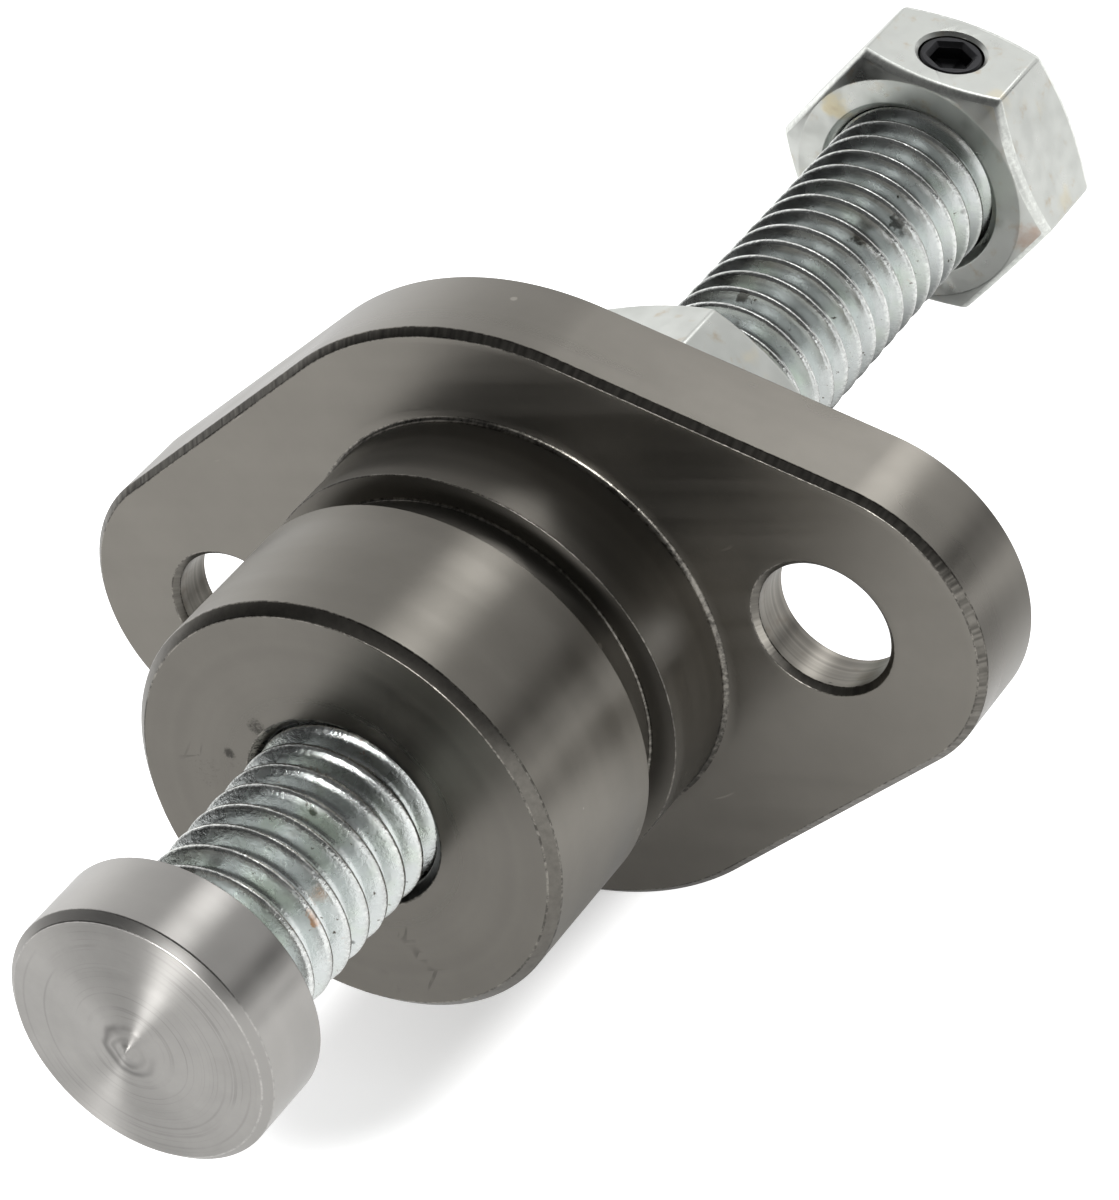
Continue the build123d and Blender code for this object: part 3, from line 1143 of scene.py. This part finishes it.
class TENSIONER_OT_lock_nut(bpy.types.Operator):
    """Lock nut behind the flange"""
    bl_idname = "tensioner.lock_nut"
    bl_label = "Lock nut"

    def execute(self, context):
        turn = context.scene.tensioner_nuts.lock_turn
        obj = make_nut(context.scene, "lock_nut_hexagon", lock_low.y, lock_high.y, turn)
        round_edges(obj, 0.2 * MM, 18)
        place_piece(obj, "lock_nut", "lock_nut")
        return {"FINISHED"}


class TENSIONER_OT_head_nut(bpy.types.Operator):
    """Head nut with the tapped hole of its set screw"""
    bl_idname = "tensioner.head_nut"
    bl_label = "Head nut"

    def execute(self, context):
        sizes = context.scene.tensioner_nuts
        obj = make_nut(context.scene, "head_nut_hexagon", head_low.y, head_high.y, sizes.head_turn)
        # The wide rounding of the front edges takes the nut edge finish, a painted highlight.
        round_edges(obj, 0.36 * MM, 50, NUT_SLOTS["edge"])
        round_edges(obj, 0.12 * MM, 25)
        inside = context.scene.tensioner_housing.bore_radius * 0.8
        hole = sizes.screw_radius + sizes.screw_clearance
        flat = sizes.across_flats / 2
        flare = sizes.hole_chamfer
        section = [
            (0.0, inside, 0, "bore"),
            (hole, inside, 0, "bore"),
            (hole, flat - flare, 0, "zinc"),
            (hole + 2 * flare, flat + flare, 0, "zinc"),
            (0.0, flat + flare, 0, "zinc"),
        ]
        bm = bmesh.new()
        turn_profile(bm, section, NUT_SLOTS, 72)
        bm.transform(screw_place(sizes))
        cutter = make_object(bm, "hole_cutter", obj.data.materials)
        cut = obj.modifiers.new("Set screw hole", "BOOLEAN")
        cut.operation = "DIFFERENCE"
        cut.solver = "EXACT"
        cut.object = cutter
        rounded_mesh(obj)
        bpy.data.objects.remove(cutter)
        round_edges(obj, 0.04 * MM, 32)
        place_piece(obj, "head", "head_nut")
        return {"FINISHED"}


class TENSIONER_OT_set_screw(bpy.types.Operator):
    """Black set screw with its hexagon socket"""
    bl_idname = "tensioner.set_screw"
    bl_label = "Set screw"

    def execute(self, context):
        sizes = context.scene.tensioner_nuts
        finish = metal_black_oxide(tuple(context.scene.tensioner_finishes.oxide))
        top = sizes.across_flats / 2 - sizes.screw_sink
        tip = context.scene.tensioner_screw.thread_radius + 0.05 * MM
        floor = top - sizes.socket_depth
        radius = sizes.screw_radius
        edge = 0.15 * MM
        socket = hexagon_outline(sizes.socket_flats, 0.06 * MM, 0.0, 3, 9)
        flared = hexagon_outline(sizes.socket_flats + 0.5 * MM, 0.2 * MM, 0.0, 3, 9)
        sides = ((radius - edge, tip), (radius, tip + edge), (radius, top - edge),
                 (radius - edge, top))
        bm = bmesh.new()
        rings = [
            add_ring(bm, [(0.0, 0.0)], tip),
            *(round_ring(bm, socket, reach, along) for reach, along in sides),
            add_ring(bm, flared, top),
            add_ring(bm, socket, top - 0.25 * MM),
            add_ring(bm, socket, floor),
            add_ring(bm, [(0.0, 0.0)], floor - 0.3 * MM),
        ]
        join_rings(bm, rings, [0] * len(rings))
        bm.transform(screw_place(sizes))
        obj = make_object(bm, "set_screw_socket", [finish.material])
        round_edges(obj, 0.03 * MM, 25)
        place_piece(obj, "head", "set_screw")
        return {"FINISHED"}


AIM = Vector((1.684, 1.596, 0.229)) * MM
# Lamps: name, azimuth, elevation, width and height in metres, radiance
LAMP_DISTANCE = 0.5
LAMPS = (
    ("back_softbox", 155, 46, 0.19, 0.19, 2.25),
    ("front_softbox", 0, 12, 0.11, 0.11, 26.0),
)
# What the metal mirrors of the floor is darker here: spot, inner and outer radius, how much
FLOOR_SPOTS = (
    ((-9, 33), 4, 26, 1.0),
    ((1, -5), 3, 16, 0.5),
    ((200, 175), 85, 190, 0.9),
    ((50, 15), 8, 27, 0.65),
)
# What the metal mirrors of the room: azimuth, elevation, how squarely it is faced at the
# patch's rim and at its middle, and how bright it is there
ROOM_PATCHES = (
    (30, 30, -0.05, 0.48, 0.88, 0.08),
    (130, -8, 0.920505, 0.97437, 1.0, 0.05),
    (-50, 14, 0.71934, 0.913545, 1.0, 0.08),
    (-122, 2, 0.7, 0.97, 1.0, 1.45),
)


def toward(azimuth, elevation):
    """Direction at an azimuth from the pad's side and an elevation, both in degrees."""
    turn = math.radians(azimuth)
    lift = math.radians(elevation)
    return Vector((math.sin(turn) * math.cos(lift), -math.cos(turn) * math.cos(lift),
                   math.sin(lift)))


def ray(tree, *kinds):
    """1 for rays of these kinds, else 0."""
    found = [add_node(tree, "ShaderNodeLightPath", output=f"Is {kind} Ray") for kind in kinds]
    return calc("MAXIMUM", *found) if len(found) > 1 else found[0]


class TENSIONER_OT_stage(bpy.types.Operator):
    """White floor, soft lamps and the camera"""
    bl_idname = "tensioner.stage"
    bl_label = "Stage"

    def execute(self, context):
        self.add_camera(context)
        self.add_floor(context)
        self.add_world(context)
        for name, azimuth, elevation, width, height, radiance in LAMPS:
            lamp = bpy.data.lights.new(name, "AREA")
            lamp.shape = "RECTANGLE"
            lamp.size = width
            lamp.size_y = height
            lamp.energy = radiance * math.pi * width * height
            obj = bpy.data.objects.new(name, lamp)
            outwards = toward(azimuth, elevation)
            obj.matrix_world = (Matrix.Translation(AIM + outwards * LAMP_DISTANCE)
                                @ outwards.to_track_quat("Z", "Y").to_matrix().to_4x4())
            context.collection.objects.link(obj)
        context.scene.view_settings.view_transform = "Standard"
        return {"FINISHED"}

    def add_camera(self, context):
        stage = context.scene.tensioner_stage
        back = toward(math.degrees(stage.azimuth), math.degrees(stage.elevation))
        level_right = Vector((math.cos(stage.azimuth), math.sin(stage.azimuth), 0.0))
        level_up = back.cross(level_right)
        up = level_up * math.cos(stage.roll) + level_right * math.sin(stage.roll)
        turn = Matrix((up.cross(back), up, back)).transposed().to_4x4()
        camera = bpy.data.objects.new("camera", bpy.data.cameras.new("camera"))
        camera.data.lens = stage.lens
        camera.data.sensor_width = 36.0
        camera.data.clip_start = 0.01
        camera.data.clip_end = 20.0
        camera.matrix_world = Matrix.Translation(AIM + back * stage.distance) @ turn
        context.collection.objects.link(camera)
        context.scene.camera = camera

    def add_floor(self, context):
        bm = bmesh.new()
        bmesh.ops.create_grid(bm, x_segments=1, y_segments=1, size=3.0)
        bmesh.ops.translate(bm, verts=bm.verts, vec=(0, 0, housing_low.z))
        mesh = bpy.data.meshes.new("floor")
        bm.to_mesh(mesh)
        bm.free()
        white = (1.0, 1.0, 1.0)
        paint = Surface("White floor", white, 0.9, metallic=0.0)
        paint.feed("Specular IOR Level", 0.0)
        paint.feed("Emission Color", (*white, 1.0))
        x, y, _ = paint.place.parts()
        across = x + 6 * MM
        along = calc("MAXIMUM", abs(y + 7 * MM) - 9 * MM, 0.0)
        away = calc("SQRT", across * across + along * along)
        glow = ray(paint.tree, "Camera", "Transmission") * away.ramp(0.003, 0.01, 0.3, 1.0)
        under = 0.0
        for spot, inner, outer, share in FLOOR_SPOTS:
            near = paint.place.near((*spot, housing_low.z / MM), inner, outer)
            under = calc("MAXIMUM", near * share, under)
        mirrored = ray(paint.tree, "Glossy")
        paint.feed("Emission Strength", glow + mirrored * under.times_plus(-0.42, 0.42))
        pale = (mirrored * under).times_plus(-0.76, 0.9)
        paint.feed("Base Color", combine(pale, pale, pale))
        mesh.materials.append(paint.material)
        obj = bpy.data.objects.new("floor", mesh)
        context.collection.objects.link(obj)

    def add_world(self, context):
        world = bpy.data.worlds.new("Studio")
        context.scene.world = world
        world.use_nodes = True
        tree = world.node_tree
        way = add_node(tree, "ShaderNodeTexCoord", output="Generated")
        mirrored = ray(tree, "Glossy")
        room = mirrored
        for azimuth, elevation, rim, middle, rim_light, middle_light in ROOM_PATCHES:
            faced = add_node(tree, "ShaderNodeVectorMath", {0: way, 1: toward(azimuth, elevation)},
                             "Value", operation="DOT_PRODUCT")
            room = room * faced.ramp(rim, middle, rim_light, middle_light)
        plain = ray(tree, "Camera", "Transmission")
        other = 1.0 - calc("MAXIMUM", plain, mirrored)
        shade = other.times_plus(0.72, plain + room)
        set_input(tree.nodes["Background"].inputs["Color"], combine(shade, shade, shade))


class TENSIONER_PT_panel(bpy.types.Panel):
    """Lists the steps and the sizes"""
    bl_idname = "TENSIONER_PT_panel"
    bl_label = "Tensioner"
    bl_space_type = "VIEW_3D"
    bl_region_type = "UI"
    bl_category = "Tensioner"

    def draw(self, context):
        layout = self.layout
        for operator in OPERATORS:
            layout.operator(operator.bl_idname)
        for name in SETTINGS:
            group = getattr(context.scene, name)
            box = layout.box()
            for key in group.bl_rna.properties.keys():
                if key not in ("rna_type", "name"):
                    box.prop(group, key)


SETTINGS = {
    "tensioner_housing": HousingSizes,
    "tensioner_screw": ScrewSizes,
    "tensioner_nuts": NutSizes,
    "tensioner_finishes": Finishes,
    "tensioner_stage": StageSettings,
}
OPERATORS = (
    TENSIONER_OT_housing,
    TENSIONER_OT_adjuster,
    TENSIONER_OT_lock_nut,
    TENSIONER_OT_head_nut,
    TENSIONER_OT_set_screw,
    TENSIONER_OT_stage,
)


def register():
    """Makes the settings, steps and panel known to Blender."""
    for kind in (*SETTINGS.values(), *OPERATORS, TENSIONER_PT_panel):
        bpy.utils.register_class(kind)
    for name, kind in SETTINGS.items():
        setattr(bpy.types.Scene, name, PointerProperty(type=kind))


def unregister():
    """Takes the settings, steps and panel away again."""
    for name in SETTINGS:
        delattr(bpy.types.Scene, name)
    for kind in reversed((*SETTINGS.values(), *OPERATORS, TENSIONER_PT_panel)):
        bpy.utils.unregister_class(kind)


def main():
    """Builds the whole scene."""
    register()
    for make_group in GROUPS:
        make_group()
    for operator in OPERATORS:
        section, name = operator.bl_idname.split(".")
        getattr(getattr(bpy.ops, section), name)()


if __name__ == "__main__":
    main()
